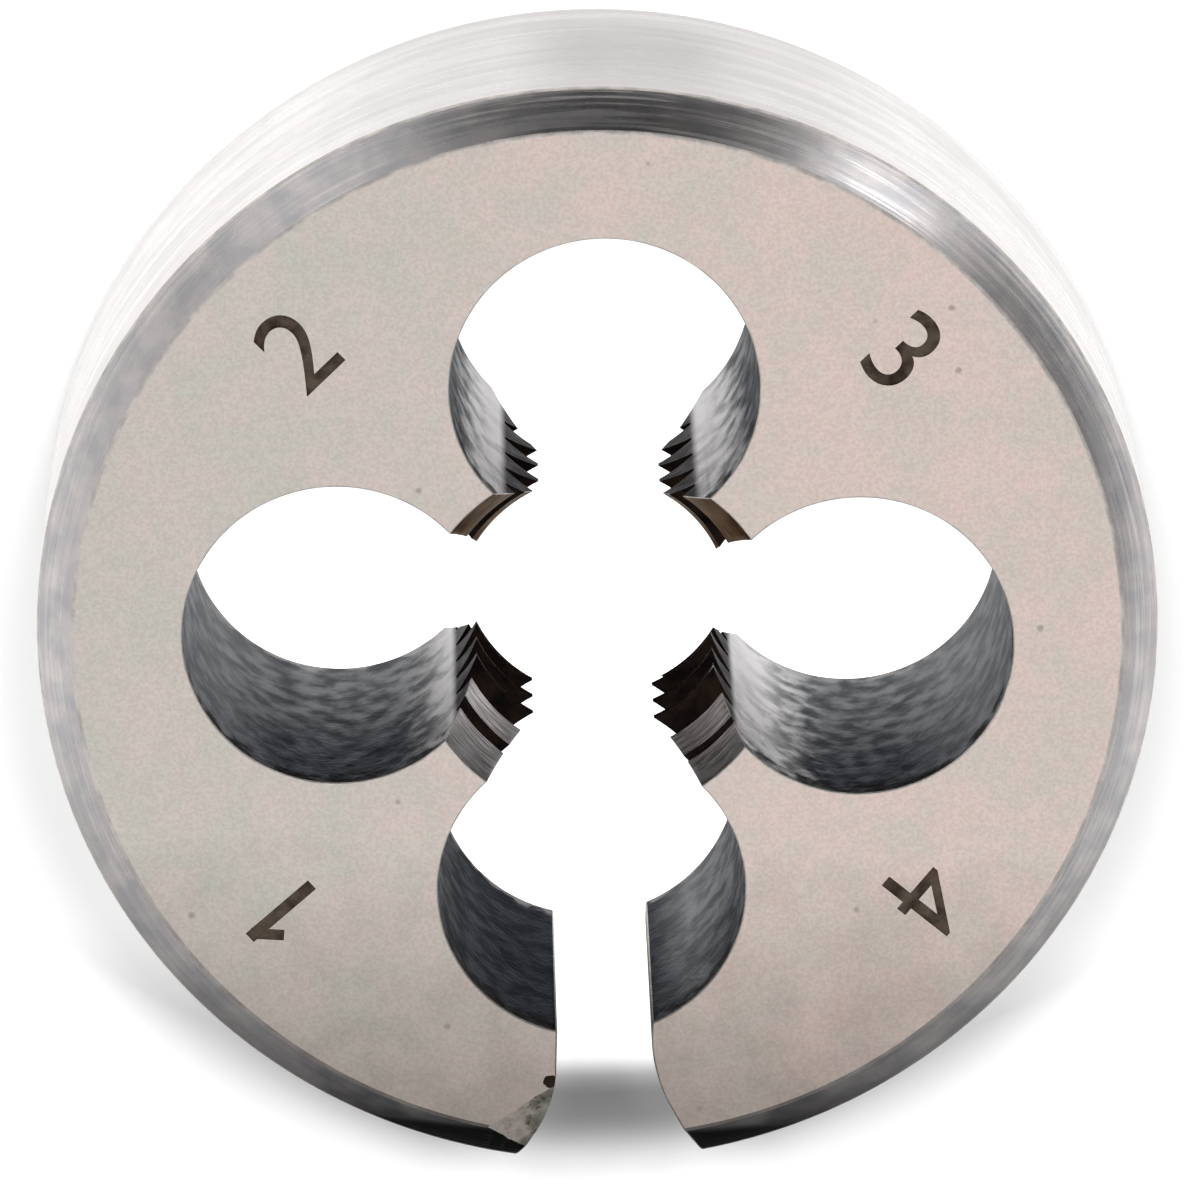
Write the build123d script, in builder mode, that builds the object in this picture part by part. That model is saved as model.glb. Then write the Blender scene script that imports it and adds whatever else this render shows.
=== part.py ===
from build123d import *
import os
from math import ceil, cos, radians, sin, tan

# Round threading die, M6 x 1 right hand, split type: one hardened steel disc.
# Four chip holes open its threaded bore and leave four lands, which carry the cutting teeth.
# A slit runs from one chip hole to the rim, so that the screws of a die stock can spread or close the die.
# Frame: millimetres, origin at the centre of the back face, +Z along the bore to the front face, slit towards -Y.

# Disc
disc_diameter = 20.0
disc_thickness = 7.0
rim_chamfer = 0.65

# Thread, right hand
thread_diameter = 6.0
thread_pitch = 1.0
thread_angle = 60.0
thread_start = -108.0  # the direction in which the middle of its groove crosses the back face

# Lead-in cone at each end of the bore: its mouth diameter and its full angle
lead_diameter = 6.6
lead_angle = 45.0

# Chip holes
chip_hole_count = 4
chip_hole_diameter = 5.5
chip_circle_diameter = 9.3

# Slit, and the flared mouth that takes the point of the spreading screw.
# The middle of each lies a little to +X of the disc's centre line.
slit_width = 1.7
slit_offset = 0.3
mouth_width = 3.5
mouth_offset = 0.5
mouth_angle = 60.0
mouth_blend_radius = 2.5
jaw_corner_radius = 0.2

# Conical seats in the rim for the two closing screws
seat_diameter = 3.0
seat_angle = 90.0
seat_from_slit = 60.0

# Wear on the jaw at -X: a corner knocked off, and a small pit beside the slit
chip_depth = 0.28
chip_tilt = 26.0
chip_direction = -54.0
pit_radius = 0.13
pit_from_rim = 1.7
pit_from_slit = 0.1

# How far a cutting shape runs past the surface that it cuts
overshoot = 0.5
groove_overlap = 0.05

# Sizes that follow from the ones above
disc_radius = disc_diameter / 2
front = disc_thickness
root_radius = thread_diameter / 2
sharp_height = thread_pitch / 2 / tan(radians(thread_angle / 2))
crest_radius = root_radius - 17 / 24 * sharp_height  # the minor diameter of the screw that the die cuts
chip_circle_radius = chip_circle_diameter / 2
land_spacing = 360 / chip_hole_count
slit_direction = -90.0


def half_tangent(full_angle):
    """How much a cone or a vee with this full angle widens on each side, for each millimetre along it."""
    return tan(radians(full_angle / 2))


lead_depth = (lead_diameter / 2 - crest_radius) / half_tangent(lead_angle)

# One groove of the thread, as long as a land is wide and a little more. It is the cutter for every turn of every land.
groove_arc = 0.9 * land_spacing
groove_rise = thread_pitch * groove_arc / 360
root_width = thread_pitch / 8
groove_depth = root_radius - crest_radius + groove_overlap
mouth_of_groove = root_width + 2 * groove_depth * half_tangent(thread_angle)

with BuildPart() as thread_groove:
    with BuildLine() as groove_path:
        Helix(pitch=thread_pitch, height=groove_rise, radius=root_radius)
    with BuildSketch(Plane.XZ):
        with BuildLine():
            Polyline(
                (root_radius - groove_depth, -mouth_of_groove / 2),
                (root_radius, -root_width / 2),
                (root_radius, root_width / 2),
                (root_radius - groove_depth, mouth_of_groove / 2),
                close=True,
            )
        make_face()
    sweep(path=groove_path.wires()[0], is_frenet=True)

# The helix rises by one pitch a turn, so each land's grooves stand a share of the pitch above the land before it.
groove_places = []
for land in range(chip_hole_count):
    land_angle = slit_direction + (land + 0.5) * land_spacing
    start_angle = land_angle - groove_arc / 2
    for turn in range(-1, ceil(disc_thickness / thread_pitch) + 2):
        height = thread_pitch * (turn + (start_angle - thread_start) / 360)
        groove_places.append(Location((0, 0, height), (0, 0, start_angle)))

# The slit seen from the front: parallel walls from the chip hole, which blend into a vee at the rim.
slit_left = slit_offset - slit_width / 2
slit_right = slit_offset + slit_width / 2
mouth_left = mouth_offset - mouth_width / 2
mouth_right = mouth_offset + mouth_width / 2
left_depth = (slit_left - mouth_left) / half_tangent(mouth_angle)
right_depth = (mouth_right - slit_right) / half_tangent(mouth_angle)
spread_outside = overshoot * half_tangent(mouth_angle)

with BuildSketch() as slit_profile:
    with BuildLine():
        Polyline(
            (slit_left, -chip_circle_radius),
            (slit_left, left_depth - disc_radius),
            (mouth_left - spread_outside, -disc_radius - overshoot),
            (mouth_right + spread_outside, -disc_radius - overshoot),
            (slit_right, right_depth - disc_radius),
            (slit_right, -chip_circle_radius),
            close=True,
        )
    make_face()
    fillet(slit_profile.vertices().sort_by(Axis.Y)[2:4], mouth_blend_radius)

# Screw seats: cones with their tips in the disc and their axes on its radii, half way up the rim.
seat_depth = seat_diameter / 2 / half_tangent(seat_angle)
seat_length = seat_depth + overshoot

# The knocked-off corner is where the front face, the rim chamfer and the flared mouth meet.
jaw_corner = Vector(mouth_left + rim_chamfer * half_tangent(mouth_angle), rim_chamfer - disc_radius, front)
chip_normal = Vector(
    sin(radians(chip_tilt)) * cos(radians(chip_direction)),
    sin(radians(chip_tilt)) * sin(radians(chip_direction)),
    cos(radians(chip_tilt)),
)
pit_x = slit_left - pit_from_slit

with BuildPart() as threading_die:
    # Everything that is cut straight through, apart from the bore
    with BuildSketch() as outline:
        Circle(disc_radius)
        add(slit_profile.sketch, mode=Mode.SUBTRACT)
        fillet(outline.vertices().sort_by(Axis.Y)[:2], jaw_corner_radius)
        with PolarLocations(chip_circle_radius, chip_hole_count, start_angle=slit_direction):
            Circle(chip_hole_diameter / 2, mode=Mode.SUBTRACT)
    extrude(amount=disc_thickness)

    # What is turned: the bore with its two lead-in cones, and the chamfer at each end of the rim
    with BuildSketch(Plane.XZ):
        with BuildLine():
            Polyline(
                (0, 0),
                (lead_diameter / 2, 0),
                (crest_radius, lead_depth),
                (crest_radius, front - lead_depth),
                (lead_diameter / 2, front),
                (0, front),
                close=True,
            )
        make_face()
        with BuildLine():
            Polyline(
                (disc_radius - rim_chamfer, front),
                (disc_radius + overshoot, front),
                (disc_radius + overshoot, front - rim_chamfer - overshoot),
                close=True,
            )
        make_face()
        with BuildLine():
            Polyline(
                (disc_radius - rim_chamfer, 0),
                (disc_radius + overshoot, 0),
                (disc_radius + overshoot, rim_chamfer + overshoot),
                close=True,
            )
        make_face()
    revolve(axis=Axis.Z, mode=Mode.SUBTRACT)

    # Thread
    with Locations(*groove_places):
        add(thread_groove.part, mode=Mode.SUBTRACT)

    # Screw seats
    for side in (-1, 1):
        seat_direction = radians(slit_direction + side * seat_from_slit)
        outward = Vector(cos(seat_direction), sin(seat_direction), 0)
        seat_tip = outward * (disc_radius - seat_depth) + Vector(0, 0, disc_thickness / 2)
        with Locations(Plane(origin=seat_tip, z_dir=outward)):
            Cone(
                bottom_radius=0,
                top_radius=seat_length * half_tangent(seat_angle),
                height=seat_length,
                align=(Align.CENTER, Align.CENTER, Align.MIN),
                mode=Mode.SUBTRACT,
            )

    # Wear
    with Locations(Plane(origin=jaw_corner - chip_normal * chip_depth, z_dir=chip_normal)):
        Box(
            slit_width,
            slit_width,
            overshoot,
            align=(Align.CENTER, Align.CENTER, Align.MIN),
            mode=Mode.SUBTRACT,
        )
    with Locations((pit_x, pit_from_rim - disc_radius, front)):
        Sphere(pit_radius, mode=Mode.SUBTRACT)

threading_die.part.label = "threading_die"
os.makedirs("parts", exist_ok=True)
export_step(threading_die.part, "parts/threading_die.step")
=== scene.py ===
import math

import bpy
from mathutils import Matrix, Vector


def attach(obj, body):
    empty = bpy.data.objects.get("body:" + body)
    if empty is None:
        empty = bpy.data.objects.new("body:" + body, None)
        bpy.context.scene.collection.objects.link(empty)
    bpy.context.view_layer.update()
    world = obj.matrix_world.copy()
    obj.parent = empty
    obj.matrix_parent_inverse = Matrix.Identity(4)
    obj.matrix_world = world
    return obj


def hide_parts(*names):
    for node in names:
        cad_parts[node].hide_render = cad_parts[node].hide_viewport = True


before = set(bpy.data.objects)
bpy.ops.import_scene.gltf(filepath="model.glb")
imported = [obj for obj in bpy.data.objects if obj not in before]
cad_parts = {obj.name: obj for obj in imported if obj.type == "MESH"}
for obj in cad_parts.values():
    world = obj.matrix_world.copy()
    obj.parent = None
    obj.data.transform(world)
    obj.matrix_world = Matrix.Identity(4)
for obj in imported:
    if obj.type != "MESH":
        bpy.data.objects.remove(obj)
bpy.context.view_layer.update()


# The blank: a disc of high-speed steel, turned and hardened, with a chamfer at each end of its rim.
# It is worked here at one unit to the millimetre, and brought down to metres when its edges are broken.
DISC_RADIUS = 10.0
THICKNESS = 7.0
RIM_CHAMFER = 0.65
RIM_FACETS = 288
MERGE_WITHIN = 0.0005


def deselect():
    bpy.ops.object.select_all(action="DESELECT")


def pick(obj, kind, test):
    """Selects in edit mode the vertices, edges or faces of obj that pass the test, and nothing else."""
    bpy.ops.object.mode_set(mode="EDIT")
    bpy.ops.mesh.select_mode(type=kind)
    bpy.ops.mesh.select_all(action="DESELECT")
    bpy.ops.object.mode_set(mode="OBJECT")
    mesh = obj.data
    parts = {"VERT": mesh.vertices, "EDGE": mesh.edges, "FACE": mesh.polygons}[kind]
    for part in parts:
        if test(mesh, part):
            part.select = True
    bpy.ops.object.mode_set(mode="EDIT")


def ends(mesh, edge):
    return [mesh.vertices[v].co for v in edge.vertices]


def outward(obj):
    """Merges what lies together in obj and turns its faces outwards."""
    bpy.ops.object.mode_set(mode="EDIT")
    bpy.ops.mesh.select_all(action="SELECT")
    bpy.ops.mesh.remove_doubles(threshold=MERGE_WITHIN)
    bpy.ops.mesh.normals_make_consistent(inside=False)
    bpy.ops.object.mode_set(mode="OBJECT")


def place(tree, kind, inputs, **settings):
    """Adds a shader node to the tree. Each input is a value, or the output of another node."""
    made = tree.nodes.new("ShaderNode" + kind)
    for setting, choice in settings.items():
        setattr(made, setting, choice)
    for socket, value in inputs.items():
        if isinstance(value, bpy.types.NodeSocket):
            tree.links.new(value, made.inputs[socket])
        else:
            made.inputs[socket].default_value = value
    return made


def calc(tree, operation, first, second=0.0):
    """The output of a Math node."""
    return place(tree, "Math", {0: first, 1: second}, operation=operation).outputs[0]


def between(tree, value, low, high, at_low=0.0, at_high=1.0):
    """A smooth change from at_low to at_high while the value goes from low to high."""
    inputs = {"Value": value, "From Min": low, "From Max": high, "To Min": at_low, "To Max": at_high}
    return place(tree, "MapRange", inputs, interpolation_type="SMOOTHSTEP").outputs[0]


def mixed(tree, factor, first, second, blend="MIX"):
    """The colour output of a Mix node. A colour is three numbers, or the output of another node."""
    first, second = ((*c, 1) if isinstance(c, tuple) else c for c in (first, second))
    inputs = {"Factor": factor, 6: first, 7: second}
    return place(tree, "Mix", inputs, data_type="RGBA", blend_type=blend).outputs[2]


def in_millimetres(tree):
    """Where a point of the die lies, in millimetres, as one vector and as its x, y and z."""
    metres = place(tree, "TexCoord", {}).outputs["Object"]
    spot = place(tree, "VectorMath", {0: metres, "Scale": 1000}, operation="SCALE").outputs[0]
    return spot, place(tree, "SeparateXYZ", {0: spot}).outputs


def from_axis(tree, axes):
    """How far a point of the die lies from the axis of its bore, in millimetres."""
    flat = place(tree, "CombineXYZ", {0: axes["X"], 1: axes["Y"]}).outputs[0]
    return place(tree, "VectorMath", {0: flat}, operation="LENGTH").outputs["Value"]


def effect(name, inputs, outputs):
    """A new shader node group. Gives its tree, and the sockets that its nodes read and fill."""
    tree = bpy.data.node_groups.new(name, "ShaderNodeTree")
    for label, default in inputs.items():
        colour = isinstance(default, tuple)
        kind = "NodeSocketColor" if colour else "NodeSocketFloat"
        socket = tree.interface.new_socket(name=label, in_out="INPUT", socket_type=kind)
        socket.default_value = (*default, 1) if colour else default
    for label, kind in outputs.items():
        tree.interface.new_socket(name=label, in_out="OUTPUT", socket_type="NodeSocket" + kind)
    return tree, tree.nodes.new("NodeGroupInput").outputs, tree.nodes.new("NodeGroupOutput").inputs


def noise(tree, spot, size, detail=3.0):
    """Cloudy noise from 0 to 1 with blotches of about that size."""
    inputs = {"Vector": spot, "Scale": calc(tree, "DIVIDE", 1, size), "Detail": detail}
    cloud = place(tree, "TexNoise", inputs).outputs["Fac"]
    return between(tree, cloud, 0.3, 0.7)


# Turning lines: fine streaks that run round the axis and break off here and there.
tree, given, filled = effect("turned_lines", {"Spacing": 0.1, "Breaks": 3.0}, {"Line": "Float"})
axes = in_millimetres(tree)[1]
rows = {
    0: calc(tree, "DIVIDE", from_axis(tree, axes), given["Spacing"]),
    1: calc(tree, "MULTIPLY", calc(tree, "ARCTAN2", axes["X"], axes["Y"]), given["Breaks"]),
    2: calc(tree, "DIVIDE", axes["Z"], given["Spacing"]),
}
streak = place(tree, "CombineXYZ", rows).outputs[0]
tree.links.new(noise(tree, streak, 1.0, 2.0), filled["Line"])

# Patches: two tones that run into one another in clouds, as stains and furnace scale do.
tree, given, filled = effect(
    "patches", {"First": (1, 1, 1), "Second": (0, 0, 0), "Size": 1.0}, {"Color": "Color", "Mask": "Float"}
)
cloud = noise(tree, in_millimetres(tree)[0], given["Size"], 5.0)
tree.links.new(mixed(tree, cloud, given["First"], given["Second"]), filled["Color"])
tree.links.new(cloud, filled["Mask"])

# Painted jaw shade: the steel is painted darker towards the slit mouth, as shade, from Start to End along Y,
# with an uneven edge.
tree, given, filled = effect("painted_jaw_shade", {"Start": -4.5, "End": -9.5, "Ragged": 0.6}, {"Painted Shade": "Float"})
spot, axes = in_millimetres(tree)
drift = calc(tree, "MULTIPLY", calc(tree, "SUBTRACT", noise(tree, spot, 0.9), 0.5), given["Ragged"])
reach = calc(tree, "ADD", axes["Y"], drift)
limits = {"Value": reach, "From Min": given["Start"], "From Max": given["End"]}
tree.links.new(place(tree, "MapRange", limits).outputs[0], filled["Painted Shade"])

# Steel grain: the fine tooth that grinding, blasting or scale leaves, as a height.
tree, given, filled = effect("steel_grain", {"Size": 0.06}, {"Height": "Float"})
tree.links.new(noise(tree, in_millimetres(tree)[0], given["Size"], 3.0), filled["Height"])


def add(tree, name, inputs):
    """Places one of the effects in a material and gives its outputs."""
    group = place(tree, "Group", {}, node_tree=bpy.data.node_groups[name])
    for socket, value in inputs.items():
        if isinstance(value, bpy.types.NodeSocket):
            tree.links.new(value, group.inputs[socket])
        else:
            group.inputs[socket].default_value = (*value, 1) if isinstance(value, tuple) else value
    return group.outputs


def material(name, metallic):
    """A new material. Gives it, its tree and its shader."""
    made = bpy.data.materials.new(name)
    made.use_nodes = True
    shader = made.node_tree.nodes["Principled BSDF"]
    shader.inputs["Metallic"].default_value = metallic
    return made, made.node_tree, shader


def bump(tree, shader, height, depth):
    """Gives the surface that relief. Its depth is in millimetres."""
    relief = place(tree, "Bump", {"Height": height, "Distance": depth / 1000})
    tree.links.new(relief.outputs[0], shader.inputs["Normal"])


def tint(tree, shader, colour, mask, smoothest, roughest):
    """Feeds the shader its colour, and a roughness that follows the mask."""
    tree.links.new(colour, shader.inputs["Base Color"])
    tree.links.new(between(tree, mask, 0.0, 1.0, smoothest, roughest), shader.inputs["Roughness"])


# The rim is turned and rolled smooth. It is darker at +Y, opposite the slit, and painted darker towards the
# slit, as shade.
rim_finish, tree, shader = material("turned_rim", 1.0)
axes = in_millimetres(tree)[1]
line = add(tree, "turned_lines", {"Spacing": 0.3, "Breaks": 1.5})["Line"]
tones = {"First": (0.84, 0.805, 0.795), "Second": (0.75, 0.735, 0.725), "Size": 0.8}
cloud = add(tree, "patches", tones)["Color"]
darker_top = calc(tree, "MULTIPLY", between(tree, axes["Y"], 8.3, 9.7), 0.75)
streaked = mixed(tree, darker_top, cloud, (0.58, 0.56, 0.555))
streaked = mixed(tree, calc(tree, "MULTIPLY", line, 0.16), streaked, (0.5, 0.48, 0.47))
painted_shade = add(tree, "painted_jaw_shade", {"Start": -4.0, "End": -11.0})["Painted Shade"]
tint(tree, shader, mixed(tree, painted_shade, streaked, (0.2, 0.18, 0.17)), line, 0.26, 0.38)
bump(tree, shader, line, 0.0015)

# The chamfers are turned too. Towards the slit they are painted darker, all the way to black beside it:
# painted shade and the dark reflection that the chamfer shows there.
chamfer_finish, tree, shader = material("dark_chamfer", 1.0)
line = add(tree, "turned_lines", {"Spacing": 0.1, "Breaks": 3.0})["Line"]
tones = {"First": (0.61, 0.575, 0.56), "Second": (0.46, 0.45, 0.46), "Size": 0.6}
cloud = add(tree, "patches", tones)["Color"]
streaked = mixed(tree, calc(tree, "MULTIPLY", line, 0.22), cloud, (0.33, 0.33, 0.35))
painted_shade = add(tree, "painted_jaw_shade", {"Start": -1.2, "End": -9.6, "Ragged": 0.5})["Painted Shade"]
painted_black_jaws = between(tree, in_millimetres(tree)[1]["Y"], -9.3, -8.3, 1.0, 0.0)
painted_darkness = calc(tree, "MAXIMUM", calc(tree, "POWER", painted_shade, 1.25), painted_black_jaws)
tint(tree, shader, mixed(tree, painted_darkness, streaked, (0.005, 0.005, 0.005)), line, 0.2, 0.32)
shader.inputs["Specular Tint"].default_value = (0.5, 0.5, 0.5, 1)
bump(tree, shader, line, 0.002)

# The faces are ground flat. They are pale, pinkish and a little lighter on the +X side, cooler and darker on
# the other, with a fine even tooth, faint clouds and a few dark specks. Towards the slit they are painted
# darker, as shade.
face_finish, tree, shader = material("ground_face", 1.0)
spot, axes = in_millimetres(tree)
across = between(tree, axes["X"], -7.0, 4.0)
warmth = mixed(tree, across, (0.6, 0.555, 0.52), (0.68, 0.58, 0.54))
broad = {"First": (1.05, 1.0, 1.0), "Second": (0.94, 0.99, 0.965), "Size": 1.1}
small = {"First": (1.03, 0.995, 1.01), "Second": (0.965, 1.0, 0.975), "Size": 0.3}
for tones in (broad, small):
    warmth = mixed(tree, 1.0, warmth, add(tree, "patches", tones)["Color"], "MULTIPLY")
grain = add(tree, "steel_grain", {"Size": 0.06})["Height"]
warmth = mixed(tree, calc(tree, "MULTIPLY", grain, 0.16), warmth, (0.42, 0.37, 0.34))
sway = place(tree, "TexNoise", {"Vector": spot, "Scale": 6.0}).outputs["Color"]
wander = mixed(tree, 0.03, spot, sway, "ADD")
speck = place(tree, "TexVoronoi", {"Vector": wander, "Scale": 0.8}).outputs["Distance"]
warmth = mixed(tree, between(tree, speck, 0.02, 0.07, 0.6, 0.0), warmth, (0.25, 0.21, 0.18))
painted_shade = add(tree, "painted_jaw_shade", {"Start": -3.8, "End": -11.0, "Ragged": 0.8})["Painted Shade"]
tint(tree, shader, mixed(tree, painted_shade, warmth, (0.2, 0.17, 0.15)), grain, 0.36, 0.5)
bump(tree, shader, grain, 0.003)

deselect()
bpy.ops.mesh.primitive_cylinder_add(
    vertices=RIM_FACETS, radius=DISC_RADIUS, depth=THICKNESS, location=(0, 0, THICKNESS / 2)
)
die = bpy.context.object
die.name = "die"
bpy.ops.object.transform_apply(location=True, rotation=True, scale=True)
for finish in (face_finish, rim_finish, chamfer_finish):
    die.data.materials.append(finish)
pick(die, "EDGE", lambda mesh, edge: len({round(p.z, 3) for p in ends(mesh, edge)}) == 1)
bpy.ops.mesh.bevel(offset=RIM_CHAMFER, offset_type="OFFSET", segments=1)
bpy.ops.object.mode_set(mode="OBJECT")
for face in die.data.polygons:
    level = abs(face.normal.z)
    face.material_index = 0 if level > 0.9 else 1 if level < 0.1 else 2


# The slit: cut through from the lowest chip hole to the rim, a little to one side of the middle.
# Its mouth is flared for the point of the spreading screw, and blends into the parallel walls.
SLIT_WIDTH = 1.7
SLIT_OFFSET = 0.3
MOUTH_WIDTH = 3.5
MOUTH_OFFSET = 0.5
MOUTH_HALF_ANGLE = math.radians(30)
MOUTH_SLOPE = math.tan(MOUTH_HALF_ANGLE)
MOUTH_BLEND = 2.5
BLEND_STEPS = 10
JAW_CORNER = 0.2
JAW_CORNER_HALF_ANGLE = math.radians(25)
CORNER_STEPS = 5
PAST = 0.5
CHIP_CIRCLE_RADIUS = 4.65

slit_finish, tree, shader = material("cut_wall", 1.0)
cloud = add(tree, "patches", {"First": (0.13, 0.115, 0.1), "Second": (0.05, 0.042, 0.036), "Size": 0.6})
grain = add(tree, "steel_grain", {"Size": 0.1})["Height"]
tint(tree, shader, cloud["Color"], grain, 0.4, 0.55)
shader.inputs["Specular Tint"].default_value = (0.6, 0.56, 0.52, 1)
bump(tree, shader, grain, 0.006)


def tool(finish):
    """Applies the place of the cutter that was just added, gives it its finish and returns it."""
    cutter = bpy.context.object
    bpy.ops.object.transform_apply(location=True, rotation=True, scale=True)
    cutter.data.materials.append(finish)
    return cutter


def cut(cutter):
    """Takes the cutter out of the die. The walls it leaves have the cutter's finish."""
    outward(cutter)
    deselect()
    die.select_set(True)
    bpy.context.view_layer.objects.active = die
    bpy.ops.object.modifier_add(type="BOOLEAN")
    boolean = die.modifiers[-1]
    boolean.operation = "DIFFERENCE"
    boolean.solver = "EXACT"
    boolean.material_mode = "TRANSFER"
    boolean.object = cutter
    bpy.ops.object.modifier_apply(modifier=boolean.name)
    bpy.data.objects.remove(cutter)


def vee_corner(side):
    """Where the parallel wall on that side turns into the flared one."""
    wall = SLIT_OFFSET + side * SLIT_WIDTH / 2
    foot = MOUTH_OFFSET + side * MOUTH_WIDTH / 2
    return wall, side * (foot - wall) / MOUTH_SLOPE - DISC_RADIUS


def rim_corner(side):
    """Where the flared wall on that side meets the rim."""
    foot = MOUTH_OFFSET + side * MOUTH_WIDTH / 2
    slant = 1 + MOUTH_SLOPE**2
    reach = DISC_RADIUS + side * foot * MOUTH_SLOPE
    rise = (reach - math.sqrt(reach**2 - slant * foot**2)) / slant
    return foot - side * rise * MOUTH_SLOPE, rise - DISC_RADIUS


def upright(mesh, edge, lowest, highest):
    """Whether the edge stands along the axis of the disc, between those two places along the slit."""
    a, b = ends(mesh, edge)
    return math.hypot(a.x - b.x, a.y - b.y) < 0.001 and lowest < a.y < highest


vee_top = vee_corner(1)[1]
deselect()
bpy.ops.mesh.primitive_cube_add(
    size=1,
    location=(SLIT_OFFSET, (vee_top - CHIP_CIRCLE_RADIUS) / 2, THICKNESS / 2),
    scale=(SLIT_WIDTH, -CHIP_CIRCLE_RADIUS - vee_top, THICKNESS + 2 * PAST),
)
slit = tool(slit_finish)
pick(slit, "FACE", lambda mesh, face: face.normal.y < -0.9)
bpy.ops.mesh.extrude_region_move(TRANSFORM_OT_translate={"value": (0, -DISC_RADIUS - vee_top, 0)})
bpy.ops.mesh.extrude_region_move(TRANSFORM_OT_translate={"value": (0, -PAST, 0)})
bpy.ops.object.mode_set(mode="OBJECT")
for corner in slit.data.vertices:
    side = math.copysign(1, corner.co.x - SLIT_OFFSET)
    if corner.co.y < -DISC_RADIUS - 0.01:
        corner.co.x = rim_corner(side)[0] + side * MOUTH_BLEND
    elif corner.co.y < vee_top - 0.01:
        corner.co.x, corner.co.y = rim_corner(side)
    elif corner.co.y < vee_top + 0.01:
        corner.co.x, corner.co.y = vee_corner(side)
pick(slit, "EDGE", lambda mesh, edge: upright(mesh, edge, -9, -8))
blend_reach = MOUTH_BLEND * math.tan(MOUTH_HALF_ANGLE / 2)
bpy.ops.mesh.bevel(offset=blend_reach, offset_type="OFFSET", segments=BLEND_STEPS)
bpy.ops.object.mode_set(mode="OBJECT")
pick(slit, "EDGE", lambda mesh, edge: upright(mesh, edge, -10, -9.6))
corner_reach = JAW_CORNER * math.tan(JAW_CORNER_HALF_ANGLE)
bpy.ops.mesh.bevel(offset=corner_reach, offset_type="OFFSET", segments=CORNER_STEPS)
bpy.ops.object.mode_set(mode="OBJECT")
cut(slit)


# The chip holes: four drilled holes that break into the bore, so that the chips fall away from the teeth.
# They are not ground after hardening, so their walls keep the blue-grey scale of the furnace.
CHIP_HOLE_RADIUS = 2.75
CHIP_HOLE_FACETS = 128

hole_finish, tree, shader = material("hardening_scale", 1.0)
spot, axes = in_millimetres(tree)
radius = from_axis(tree, axes)
grain = add(tree, "steel_grain", {"Size": 0.12})["Height"]
inner = add(tree, "patches", {"First": (0.17, 0.175, 0.175), "Second": (0.07, 0.075, 0.08), "Size": 0.45})
outer = add(tree, "patches", {"First": (0.07, 0.078, 0.085), "Second": (0.015, 0.018, 0.022), "Size": 0.35})
ragged = calc(tree, "MULTIPLY", inner["Mask"], 0.5)
depth = calc(tree, "ADD", axes["Z"], ragged)
# Painted shade: the walls are painted darker from the back face towards the front.
walls = mixed(tree, between(tree, depth, 1.5, 6.5), inner["Color"], outer["Color"])

# Beside the lands the walls are ground. In the slit's half of the die that reaches further out towards +X,
# and the hole at -X is darker there: painted light and shade, for the brighter light that the walls mirror
# from +X.
slit_half = between(tree, axes["Y"], 0.0, 2.0, 1.0, 0.0)
lean = calc(tree, "MULTIPLY", slit_half, between(tree, axes["X"], -3.4, 3.4, 0.3, -0.35))
reach = calc(tree, "ADD", calc(tree, "ADD", radius, ragged), lean)
ground = between(tree, reach, 3.7, 4.9, 0.85, 0.0)
painted_dim_side = between(tree, axes["X"], -3.3, -2.3, 1.0, 0.0)
walls = mixed(tree, ground, walls, mixed(tree, painted_dim_side, (0.72, 0.7, 0.7), (0.3, 0.29, 0.29)))

# They are lighter furthest out, and painted darkest, as shade, at the slit's -X jaw, at the teeth and just
# inside the front face. They are a little rubbed at the back.
walls = mixed(tree, between(tree, radius, 6.0, 7.3, 0.0, 0.4), walls, (0.3, 0.305, 0.31))
slant = place(tree, "VectorMath", {0: spot, 1: (0.6, 1.1, 0)}, operation="DOT_PRODUCT").outputs["Value"]
walls = mixed(tree, between(tree, slant, -7.4, -5.9, 0.97, 0.0), walls, (0.01, 0.013, 0.016))
walls = mixed(tree, between(tree, radius, 2.95, 3.15, 0.92, 0.0), walls, (0.014, 0.011, 0.01))
walls = mixed(tree, between(tree, depth, 6.7, 7.1, 0.0, 0.9), walls, (0.01, 0.008, 0.006))
walls = mixed(tree, between(tree, depth, 0.25, 0.5, 0.6, 0.0), walls, (0.3, 0.28, 0.27))
tint(tree, shader, walls, inner["Mask"], 0.42, 0.58)
shader.inputs["Specular Tint"].default_value = (0.45, 0.45, 0.46, 1)
bump(tree, shader, grain, 0.01)

for quarter in range(4):
    turn = math.radians(90 * quarter)
    deselect()
    bpy.ops.mesh.primitive_cylinder_add(
        vertices=CHIP_HOLE_FACETS,
        radius=CHIP_HOLE_RADIUS,
        depth=THICKNESS + 2 * PAST,
        location=(CHIP_CIRCLE_RADIUS * math.cos(turn), CHIP_CIRCLE_RADIUS * math.sin(turn), THICKNESS / 2),
    )
    cut(tool(hole_finish))


# The bore: reamed to the crests of the thread, with a ground lead-in cone at each end that starts the cut.
# The thread is tapped before hardening. Its four lands are all that the chip holes leave of it.
CREST_RADIUS = 2.3866
ROOT_RADIUS = 3.0
PITCH = 1.0
THREAD_HALF_ANGLE = math.radians(30)
THREAD_START = math.radians(-108)
LEAD_MOUTH_RADIUS = 3.3
LEAD_SLOPE = math.tan(math.radians(22.5))
BORE_FACETS = 144
GROOVE_TURNS = 9
GROOVE_OVERLAP = 0.05

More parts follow.
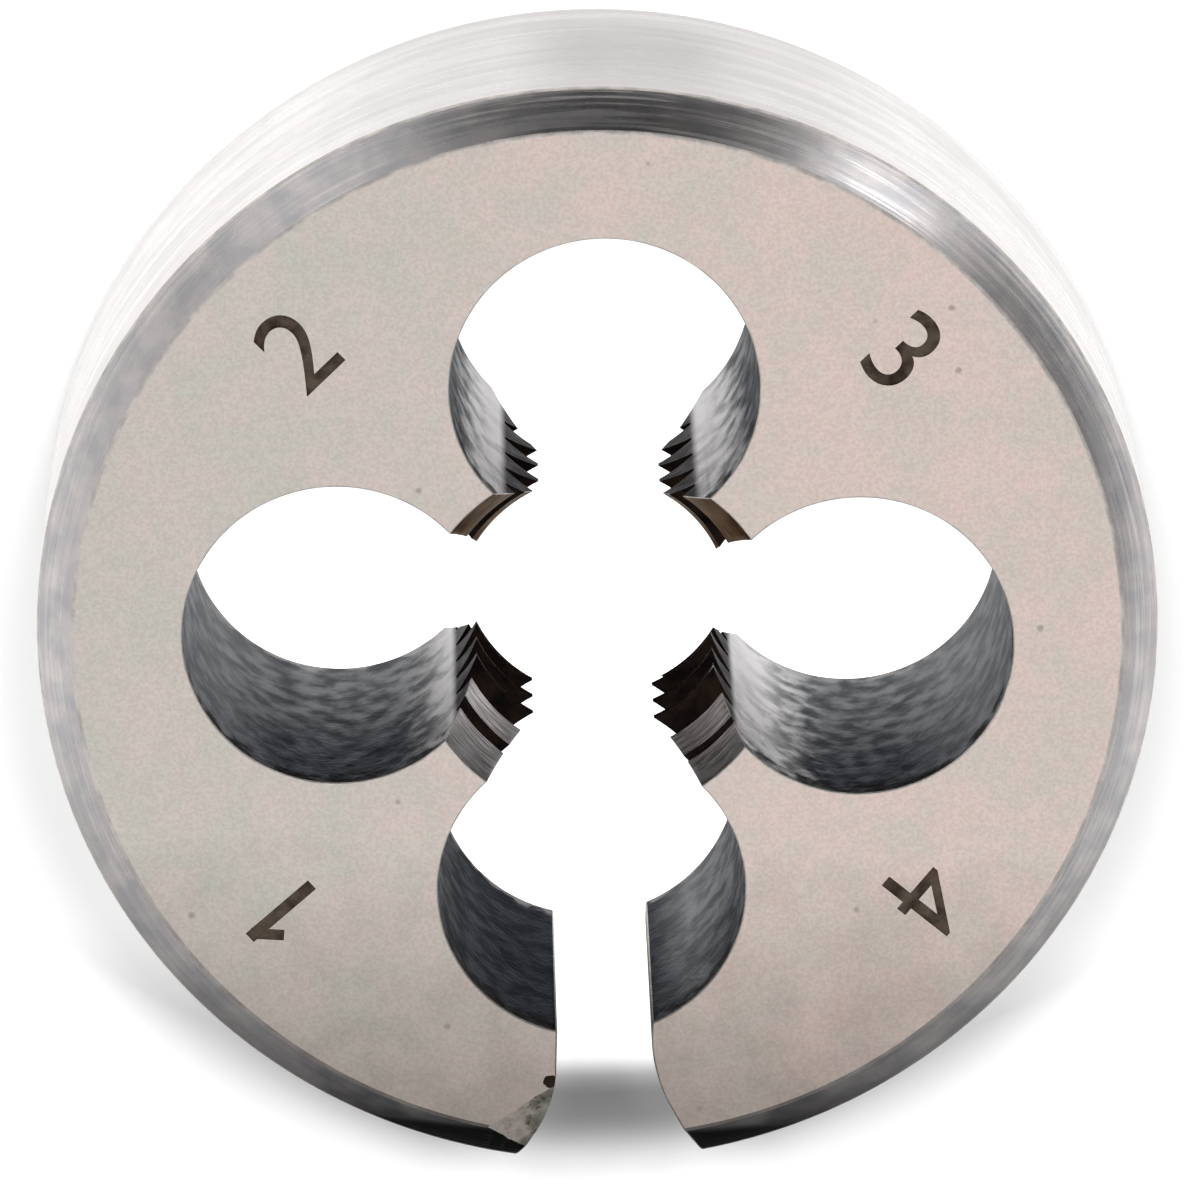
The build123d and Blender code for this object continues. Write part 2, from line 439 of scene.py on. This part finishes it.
lead_finish, tree, shader = material("ground_lead_in", 1.0)
axes = in_millimetres(tree)[1]
line = add(tree, "turned_lines", {"Spacing": 0.06, "Breaks": 5.0})["Line"]
clean_tones = {"First": (0.66, 0.64, 0.65), "Second": (0.46, 0.44, 0.435), "Size": 0.6}
oiled_and_shaded_tones = {"First": (0.1, 0.075, 0.058), "Second": (0.035, 0.027, 0.02), "Size": 0.5}
clean = add(tree, "patches", clean_tones)["Color"]
oiled_and_shaded = add(tree, "patches", oiled_and_shaded_tones)["Color"]
# The -Y half of each cone is ground steel, painted half-way darker towards +X as shade. The +Y half is dark
# brown: oil, and painted shade for the dark that the cone mirrors through the holes.
clean = mixed(tree, between(tree, axes["X"], -1.5, 1.5), clean, mixed(tree, 0.5, clean, oiled_and_shaded))
cones = mixed(tree, between(tree, axes["Y"], -1.0, 1.0, 0.03, 1.0), clean, oiled_and_shaded)
tint(tree, shader, cones, line, 0.28, 0.42)
shader.inputs["Specular Tint"].default_value = (0.4, 0.36, 0.33, 1)
bump(tree, shader, line, 0.003)


def oily_and_shaded(name, first, second):
    """The finish of the thread: dark from hardening, with dried oil in it, and painted near black as shade.
    """
    made, tree, shader = material(name, 1.0)
    cloud = add(tree, "patches", {"First": first, "Second": second, "Size": 0.5})
    grain = add(tree, "steel_grain", {"Size": 0.08})["Height"]
    tint(tree, shader, cloud["Color"], grain, 0.36, 0.5)
    shader.inputs["Specular Tint"].default_value = (0.2, 0.17, 0.15, 1)
    bump(tree, shader, grain, 0.004)
    return made


thread_finish = oily_and_shaded("thread_flank", (0.006, 0.005, 0.005), (0.022, 0.014, 0.01))
crest_finish = oily_and_shaded("thread_crest", (0.012, 0.01, 0.01), (0.035, 0.026, 0.022))

lead_depth = (LEAD_MOUTH_RADIUS - CREST_RADIUS) / LEAD_SLOPE
deselect()
bpy.ops.mesh.primitive_cylinder_add(
    vertices=BORE_FACETS,
    radius=CREST_RADIUS,
    depth=THICKNESS - 2 * lead_depth,
    location=(0, 0, THICKNESS / 2),
)
bore = tool(crest_finish)
bore.data.materials.append(lead_finish)
lead_length = lead_depth + PAST
lead_spread = 1 + lead_length * LEAD_SLOPE / CREST_RADIUS
for up in (1, -1):
    pick(bore, "FACE", lambda mesh, face: face.normal.z * up > 0.9)
    bpy.ops.mesh.extrude_region_move(TRANSFORM_OT_translate={"value": (0, 0, up * lead_length)})
    bpy.ops.transform.resize(value=(lead_spread, lead_spread, 1), center_override=(0, 0, 0))
    bpy.ops.object.mode_set(mode="OBJECT")
for face in bore.data.polygons:
    face.material_index = 1 if 0.1 < abs(face.normal.z) < 0.95 else 0
cut(bore)

# The groove: a vee with a flat root, swept up a helix that leaves the disc at both ends.
groove_depth = ROOT_RADIUS - CREST_RADIUS + GROOVE_OVERLAP
root_half = PITCH / 16
mouth_half = root_half + groove_depth * math.tan(THREAD_HALF_ANGLE)
profile = (
    (ROOT_RADIUS - groove_depth, -mouth_half),
    (ROOT_RADIUS, -root_half),
    (ROOT_RADIUS, root_half),
    (ROOT_RADIUS - groove_depth, mouth_half),
)
deselect()
bpy.ops.mesh.primitive_plane_add(size=1)
groove = tool(thread_finish)
for corner, vertex in zip(profile, (0, 1, 3, 2)):
    groove.data.vertices[vertex].co = (
        corner[0] * math.cos(THREAD_START),
        corner[0] * math.sin(THREAD_START),
        corner[1] - PITCH,
    )
pick(groove, "FACE", lambda mesh, face: True)
bpy.ops.mesh.delete(type="ONLY_FACE")
bpy.ops.object.mode_set(mode="OBJECT")
bpy.ops.object.modifier_add(type="SCREW")
sweep = groove.modifiers[-1]
sweep.axis = "Z"
sweep.angle = math.radians(360)
sweep.screw_offset = PITCH
sweep.iterations = GROOVE_TURNS
sweep.steps = BORE_FACETS
sweep.render_steps = BORE_FACETS
bpy.ops.object.modifier_apply(modifier=sweep.name)
bpy.ops.object.mode_set(mode="EDIT")
bpy.ops.mesh.select_all(action="SELECT")
bpy.ops.mesh.remove_doubles(threshold=MERGE_WITHIN)
bpy.ops.mesh.select_all(action="SELECT")
bpy.ops.mesh.fill_holes(sides=4)
bpy.ops.object.mode_set(mode="OBJECT")
cut(groove)


# The screw seats: two cones drilled in the rim, 60 degrees each side of the slit, for the closing screws.
SEAT_RADIUS = 1.5
SEAT_FROM_SLIT = 60
SEAT_FACETS = 96

seat_finish, tree, shader = material("drilled_seat", 1.0)
axes = in_millimetres(tree)[1]
folded = {
    0: calc(tree, "ABSOLUTE", axes["X"]),
    1: axes["Y"],
    2: calc(tree, "SUBTRACT", axes["Z"], THICKNESS / 2),
}
turn = math.radians(SEAT_FROM_SLIT - 90)
arms = {0: place(tree, "CombineXYZ", folded).outputs[0], 1: (math.cos(turn), math.sin(turn), 0)}
aside = place(tree, "VectorMath", arms, operation="CROSS_PRODUCT").outputs[0]
radius = place(tree, "VectorMath", {0: aside}, operation="LENGTH").outputs["Value"]
rings = noise(tree, place(tree, "CombineXYZ", {0: radius}).outputs[0], 0.08, 2.0)
cloud = add(tree, "patches", {"First": (0.3, 0.285, 0.27), "Second": (0.15, 0.14, 0.13), "Size": 0.6})
tint(tree, shader, cloud["Color"], rings, 0.3, 0.5)
bump(tree, shader, rings, 0.006)

for side in (-1, 1):
    turn = math.radians(-90 + side * SEAT_FROM_SLIT)
    middle = DISC_RADIUS - SEAT_RADIUS + (SEAT_RADIUS + PAST) / 2
    deselect()
    bpy.ops.mesh.primitive_cone_add(
        vertices=SEAT_FACETS,
        radius1=0,
        radius2=SEAT_RADIUS + PAST,
        depth=SEAT_RADIUS + PAST,
        location=(middle * math.cos(turn), middle * math.sin(turn), THICKNESS / 2),
        rotation=(0, math.radians(90), turn),
    )
    cut(tool(seat_finish))


# Wear on the jaw at -X: a corner knocked off where the front face meets the mouth, and a pit by the slit.
# The corner is rough, broken steel, rubbed smooth on its far side. The pit is brown with rust.
CHIP_DEPTH = 0.28
CHIP_TILT = math.radians(26)
CHIP_DIRECTION = math.radians(-54)
CHIP_ROUGHNESS = 0.03
PIT_RADIUS = 0.13
PIT_FROM_RIM = 1.7
PIT_FROM_SLIT = 0.1
PIT_ROUGHNESS = 0.02

broken_finish, tree, shader = material("broken_steel", 1.0)
axes = in_millimetres(tree)[1]
cloud = add(tree, "patches", {"First": (0.25, 0.24, 0.21), "Second": (0.12, 0.118, 0.095), "Size": 0.25})
dirt = add(tree, "patches", {"Size": 0.12})["Mask"]
grain = add(tree, "steel_grain", {"Size": 0.07})["Height"]
flecked = mixed(tree, between(tree, dirt, 0.7, 0.95, 0.0, 0.85), cloud["Color"], (0.04, 0.035, 0.025))
slurred = calc(tree, "ADD", axes["X"], calc(tree, "MULTIPLY", cloud["Mask"], 0.4))
rubbed = mixed(tree, between(tree, slurred, -1.2, -0.7, 0.85, 0.0), flecked, (0.35, 0.305, 0.28))
tint(tree, shader, rubbed, grain, 0.42, 0.6)
bump(tree, shader, grain, 0.012)


def dull_brown(name, first, second):
    """A matt brown finish, for rust and for what is etched."""
    made, tree, shader = material(name, 0.2)
    cloud = add(tree, "patches", {"First": first, "Second": second, "Size": 0.3})
    grain = add(tree, "steel_grain", {"Size": 0.05})["Height"]
    tint(tree, shader, cloud["Color"], grain, 0.6, 0.85)
    shader.inputs["Specular IOR Level"].default_value = 0.2
    bump(tree, shader, grain, 0.004)
    return made


pit_finish = dull_brown("rusty_pit", (0.02, 0.013, 0.008), (0.05, 0.032, 0.02))

chip_normal = Vector(
    (
        math.sin(CHIP_TILT) * math.cos(CHIP_DIRECTION),
        math.sin(CHIP_TILT) * math.sin(CHIP_DIRECTION),
        math.cos(CHIP_TILT),
    )
)
jaw_corner = Vector(
    (MOUTH_OFFSET - MOUTH_WIDTH / 2 + RIM_CHAMFER * MOUTH_SLOPE, RIM_CHAMFER - DISC_RADIUS, THICKNESS)
)
deselect()
bpy.ops.mesh.primitive_grid_add(x_subdivisions=12, y_subdivisions=12, size=SLIT_WIDTH)
chip = bpy.context.object
pick(chip, "FACE", lambda mesh, face: True)
bpy.ops.mesh.extrude_region_move(TRANSFORM_OT_translate={"value": (0, 0, PAST)})
bpy.ops.object.mode_set(mode="OBJECT")
pick(chip, "VERT", lambda mesh, vertex: vertex.co.z < 0.01)
bpy.ops.transform.vertex_random(offset=CHIP_ROUGHNESS, seed=4)
bpy.ops.object.mode_set(mode="OBJECT")
chip.rotation_euler = chip_normal.to_track_quat("Z", "Y").to_euler()
chip.location = jaw_corner - chip_normal * CHIP_DEPTH
cut(tool(broken_finish))

deselect()
bpy.ops.mesh.primitive_ico_sphere_add(
    subdivisions=3,
    radius=PIT_RADIUS,
    location=(SLIT_OFFSET - SLIT_WIDTH / 2 - PIT_FROM_SLIT, PIT_FROM_RIM - DISC_RADIUS, THICKNESS),
)
pit = tool(pit_finish)
pick(pit, "VERT", lambda mesh, vertex: True)
bpy.ops.transform.vertex_random(offset=PIT_ROUGHNESS, seed=7)
bpy.ops.object.mode_set(mode="OBJECT")
cut(pit)


# The marks: the four lands numbered round from the slit, etched a little way into the front face.
# The etch burns the steel dark brown.
MARK_HEIGHT = 2.2
MARK_CIRCLE_RADIUS = 7.5
MARK_DEPTH = 0.03
STROKE = 0.2
FLAG_LENGTH = 0.6
FLAG_PLACE = (-0.16, 0.56, 0)
FLAG_SLANT = math.radians(45)
MARK_PLACES = {"1": 223, "2": 136, "3": 46, "4": -38}

mark_finish = dull_brown("etched_mark", (0.026, 0.018, 0.012), (0.1, 0.075, 0.058))


def etch(mark, bearing):
    """Stands the mark on the mark circle, its top towards the rim, and cuts it into the face."""
    turn = math.radians(bearing)
    mark.location = (MARK_CIRCLE_RADIUS * math.cos(turn), MARK_CIRCLE_RADIUS * math.sin(turn), THICKNESS)
    mark.rotation_euler = (0, 0, turn - math.radians(90))
    cut(tool(mark_finish))


for number, bearing in MARK_PLACES.items():
    deselect()
    bpy.ops.object.text_add()
    mark = bpy.context.object
    mark.data.body = number
    mark.data.size = MARK_HEIGHT
    mark.data.extrude = MARK_DEPTH
    mark.data.align_x = "CENTER"
    mark.data.align_y = "CENTER"
    mark.data.resolution_u = 8
    bpy.ops.object.convert(target="MESH")
    mark = bpy.context.object
    mark.data.materials.clear()
    etch(mark, bearing)

# The 1 has a short slanting flag at its top.
deselect()
bpy.ops.mesh.primitive_cube_add(
    size=1,
    location=FLAG_PLACE,
    rotation=(0, 0, FLAG_SLANT),
    scale=(FLAG_LENGTH, STROKE, 2 * MARK_DEPTH),
)
flag = bpy.context.object
bpy.ops.object.transform_apply(location=True, rotation=True, scale=True)
etch(flag, MARK_PLACES["1"])


# The edges: the grinder and the deburring wheel leave each outer edge a little round and bright.
# The thread and the marks keep theirs as they were cut.
EDGE_ROUND = 0.05
EDGE_STEPS = 3
EDGE_FROM = math.radians(20)
SMOOTH_BELOW = math.radians(35)
METRES = 0.001
EDGE_SHARES = {
    "ground_face": {"dark_chamfer": 0.8, "hardening_scale": 0.6, "cut_wall": 0.6, "ground_lead_in": 0.4},
    "turned_rim": {"dark_chamfer": 1.0, "cut_wall": 0.6, "drilled_seat": 0.5},
    "dark_chamfer": {"cut_wall": 0.6, "drilled_seat": 0.5},
    "hardening_scale": {"cut_wall": 0.6, "ground_lead_in": 0.3},
}

edge_finish, tree, shader = material("broken_edge", 1.0)
cloud = add(tree, "patches", {"First": (0.64, 0.59, 0.56), "Second": (0.44, 0.41, 0.39), "Size": 0.4})
# Towards the slit the broken edges are painted darker too, as shade.
painted_shade = add(tree, "painted_jaw_shade", {"Start": -3.0, "End": -10.0})["Painted Shade"]
grain = add(tree, "steel_grain", {"Size": 0.06})["Height"]
worn_and_shaded = mixed(tree, painted_shade, cloud["Color"], (0.05, 0.042, 0.036))
tint(tree, shader, worn_and_shaded, grain, 0.4, 0.55)
bump(tree, shader, grain, 0.003)

outward(die)
finishes = [slot.material.name for slot in die.material_slots]
sides = {}
for face in die.data.polygons:
    for key in face.edge_keys:
        sides.setdefault(key, []).append(face)
weights = die.data.attributes.new("bevel_weight_edge", "FLOAT", "EDGE")
for edge in die.data.edges:
    faces = sides[edge.key]
    if len(faces) == 2 and faces[0].normal.angle(faces[1].normal) > EDGE_FROM:
        a, b = (finishes[face.material_index] for face in faces)
        share = EDGE_SHARES.get(a, {}).get(b) or EDGE_SHARES.get(b, {}).get(a) or 0
        weights.data[edge.index].value = share
die.data.materials.append(edge_finish)
deselect()
die.select_set(True)
bpy.context.view_layer.objects.active = die
bpy.ops.object.modifier_add(type="BEVEL")
rounding = die.modifiers[-1]
rounding.limit_method = "WEIGHT"
rounding.width = EDGE_ROUND
rounding.segments = EDGE_STEPS
rounding.use_clamp_overlap = False
rounding.material = len(finishes)
bpy.ops.object.modifier_apply(modifier=rounding.name)
bpy.ops.object.mode_set(mode="EDIT")
bpy.ops.mesh.select_all(action="SELECT")
bpy.ops.transform.resize(value=(METRES, METRES, METRES), center_override=(0, 0, 0))
bpy.ops.object.mode_set(mode="OBJECT")
bpy.ops.object.shade_smooth_by_angle(angle=SMOOTH_BELOW)
bpy.ops.object.modifier_add(type="WEIGHTED_NORMAL")
die.modifiers[-1].keep_sharp = True
bpy.ops.object.modifier_apply(modifier=die.modifiers[-1].name)

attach(die, "root")
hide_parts("threading_die")


# The floor: a pale, matt table top that runs out of every view. Under the die and between its jaws a patch
# of
# it glows white: painted light, which shows in the holes and the slit where the die would shade the floor.
# The floor glows a little, but not where the jaws shade it, and in line with the slit its colour is painted
# darker, as a painted shadow. Each pair below is where a change of tone starts and where it ends, in
# millimetres.
FLOOR_SIDE = 3
FLOOR_COLOUR = (0.86, 0.86, 0.86)
SHADED_COLOUR = (0.2, 0.2, 0.2)
FLOOR_GLOW = 0.28
CARD_GLOW = 0.8
GLOW_CARD_RIM = (8.8, 9.3)
TONGUE_SIDE = (1.0, 1.3)
TONGUE_END = (9.9, 10.8)
SHADE_DEPTH = 0.65
SHADE_SIDE = (1.0, 3.0)
SHADE_START = (10.4, 11.0)
SHADE_END = (11.3, 12.2)
GLOW_BESIDE = (-10.2, -7.5)
GLOW_BEYOND = (11.6, 12.9)

floor_finish, tree, shader = material("floor", 0.0)
deselect()
bpy.ops.mesh.primitive_plane_add(size=FLOOR_SIDE, location=(0, 0, -0.00002))
floor = bpy.context.object
floor.name = "floor"
floor.data.materials.append(floor_finish)
shader.inputs["Roughness"].default_value = 0.9
shader.inputs["Specular IOR Level"].default_value = 0.1
shader.inputs["Emission Color"].default_value = (1, 1, 1, 1)
spot, axes = in_millimetres(tree)
distance = place(tree, "VectorMath", {0: spot}, operation="LENGTH").outputs["Value"]
aside = calc(tree, "ABSOLUTE", calc(tree, "SUBTRACT", axes["X"], MOUTH_OFFSET))
tongue = between(tree, aside, *TONGUE_SIDE, 1.0, 0.0)
tongue = calc(tree, "MULTIPLY", tongue, between(tree, axes["Y"], -1.0, 1.0, 1.0, 0.0))
tongue = calc(tree, "MULTIPLY", tongue, between(tree, distance, *TONGUE_END, 1.0, 0.0))
painted_light_card = calc(tree, "MAXIMUM", tongue, between(tree, distance, *GLOW_CARD_RIM, 1.0, 0.0))
lit = calc(tree, "MAXIMUM", between(tree, axes["Y"], *GLOW_BESIDE), between(tree, distance, *GLOW_BEYOND))
glow = calc(tree, "MULTIPLY", lit, FLOOR_GLOW)
glow = calc(tree, "ADD", glow, between(tree, painted_light_card, 0.0, 1.0, 0.0, CARD_GLOW))
# Painted shadow: in line with the slit the floor's colour is painted darker, at both ends of the die.
shade = between(tree, aside, *SHADE_SIDE, SHADE_DEPTH, 0.0)
shade = calc(tree, "MULTIPLY", shade, between(tree, distance, *SHADE_START))
shade = calc(tree, "MULTIPLY", shade, between(tree, distance, *SHADE_END, 1.0, 0.0))
tree.links.new(mixed(tree, shade, FLOOR_COLOUR, SHADED_COLOUR), shader.inputs["Base Color"])
path = place(tree, "LightPath", {}).outputs
seen = calc(tree, "MAXIMUM", path["Is Camera Ray"], path["Is Glossy Ray"])
tree.links.new(calc(tree, "MULTIPLY", seen, glow), shader.inputs["Emission Strength"])


# The studio: a pale room, brightest overhead, with a dim corner towards +Y and bright walls each side of it.
# Near the horizon its strength goes by the bearing, in degrees from +X.
# The room is dimmer for dull surfaces, such as the floor, and plain white behind the die.
WALLS = {
    0: 0.46,
    15: 0.28,
    33: 0.36,
    51: 1.2,
    68: 0.14,
    90: 0.03,
    108: 0.18,
    128: 1.1,
    150: 0.66,
    190: 0.95,
    340: 0.75,
}
BRIGHTEST = max(WALLS.values())
OVERHEAD = 1.05
OVERHEAD_FROM = (0.55, 0.92)
ON_DULL = 0.35


def graded(tree, factor, first, second):
    """The number that lies that far from the first to the second."""
    inputs = {"Factor": factor, 2: first, 3: second}
    return place(tree, "Mix", inputs, data_type="FLOAT").outputs[0]


world = bpy.data.worlds.new("studio")
bpy.context.scene.world = world
world.use_nodes = True
tree = world.node_tree
aim = place(tree, "TexCoord", {}).outputs["Generated"]
axes = place(tree, "SeparateXYZ", {0: aim}).outputs
bearing = calc(tree, "DIVIDE", calc(tree, "ARCTAN2", axes["Y"], axes["X"]), 2 * math.pi)
ramp = place(tree, "ValToRGB", {"Fac": calc(tree, "FRACT", bearing)})
stops = ramp.color_ramp.elements
for turn, strength in WALLS.items():
    stop = stops[0] if turn == 0 else stops.new(turn / 360)
    stop.color = (*[strength / BRIGHTEST] * 3, 1)
stops[-1].color = stops[0].color
walls = calc(tree, "MULTIPLY", ramp.outputs["Color"], BRIGHTEST)
room = graded(tree, between(tree, axes["Z"], *OVERHEAD_FROM), walls, OVERHEAD)
path = place(tree, "LightPath", {}).outputs
lit = calc(tree, "MULTIPLY", room, graded(tree, path["Is Diffuse Ray"], 1.0, ON_DULL))
strength = graded(tree, path["Is Camera Ray"], lit, 1.0)
tree.links.new(strength, tree.nodes["Background"].inputs["Strength"])
tree.nodes["Background"].inputs["Color"].default_value = (1, 1, 1, 1)


# The lamps: two soft suns, one each side of +Y, cast the shadow. Polished steel doesn't mirror them.
# A small box low beside the studio's dark corner gives the upper chamfer its glint.
SUN_STRENGTH = 1.2
SUN_WIDTH = math.radians(12)
SUN_DIRECTION = (0.155, 0.37, 0.91)
GLINT_SIDE = 0.04
GLINT_WATTS = 0.015
GLINT_PLACE = (0.132, 0.163, 0.052)


def lamp(name, kind, strength, direction):
    """Adds a lamp of that kind, which shines from that direction towards the die."""
    light = bpy.data.lights.new(name, kind)
    light.energy = strength
    holder = bpy.data.objects.new(name, light)
    holder.rotation_euler = Vector(direction).to_track_quat("Z", "Y").to_euler()
    bpy.context.scene.collection.objects.link(holder)
    return light, holder


for name, side in (("key_plus_x", 1), ("key_minus_x", -1)):
    key, key_lamp = lamp(name, "SUN", SUN_STRENGTH, (side * SUN_DIRECTION[0], *SUN_DIRECTION[1:]))
    key.angle = SUN_WIDTH
    key_lamp.visible_glossy = False

glint, glint_lamp = lamp("glint", "AREA", GLINT_WATTS, GLINT_PLACE)
glint.size = GLINT_SIDE
glint_lamp.location = GLINT_PLACE
glint_lamp.visible_camera = False


# The camera: it looks down at the front face through a long lens, from a little to the +Y side, so that the
# upper rim shows and the slit points down.
LENS = 376.373
SENSOR_WIDTH = 36
NEAREST = 0.01
FURTHEST = 10
EYE_PLACE = (-0.00438508, 0.06407294, 0.21764911)
EYE_TURN = (-16.712434, -0.730344, 1.421984)

eye = bpy.data.cameras.new("camera")
eye.lens = LENS
eye.sensor_width = SENSOR_WIDTH
eye.clip_start = NEAREST
eye.clip_end = FURTHEST
camera = bpy.data.objects.new("camera", eye)
bpy.context.scene.collection.objects.link(camera)
camera.location = EYE_PLACE
camera.rotation_euler = [math.radians(angle) for angle in EYE_TURN]
bpy.context.scene.camera = camera
bpy.context.scene.view_settings.view_transform = "Standard"
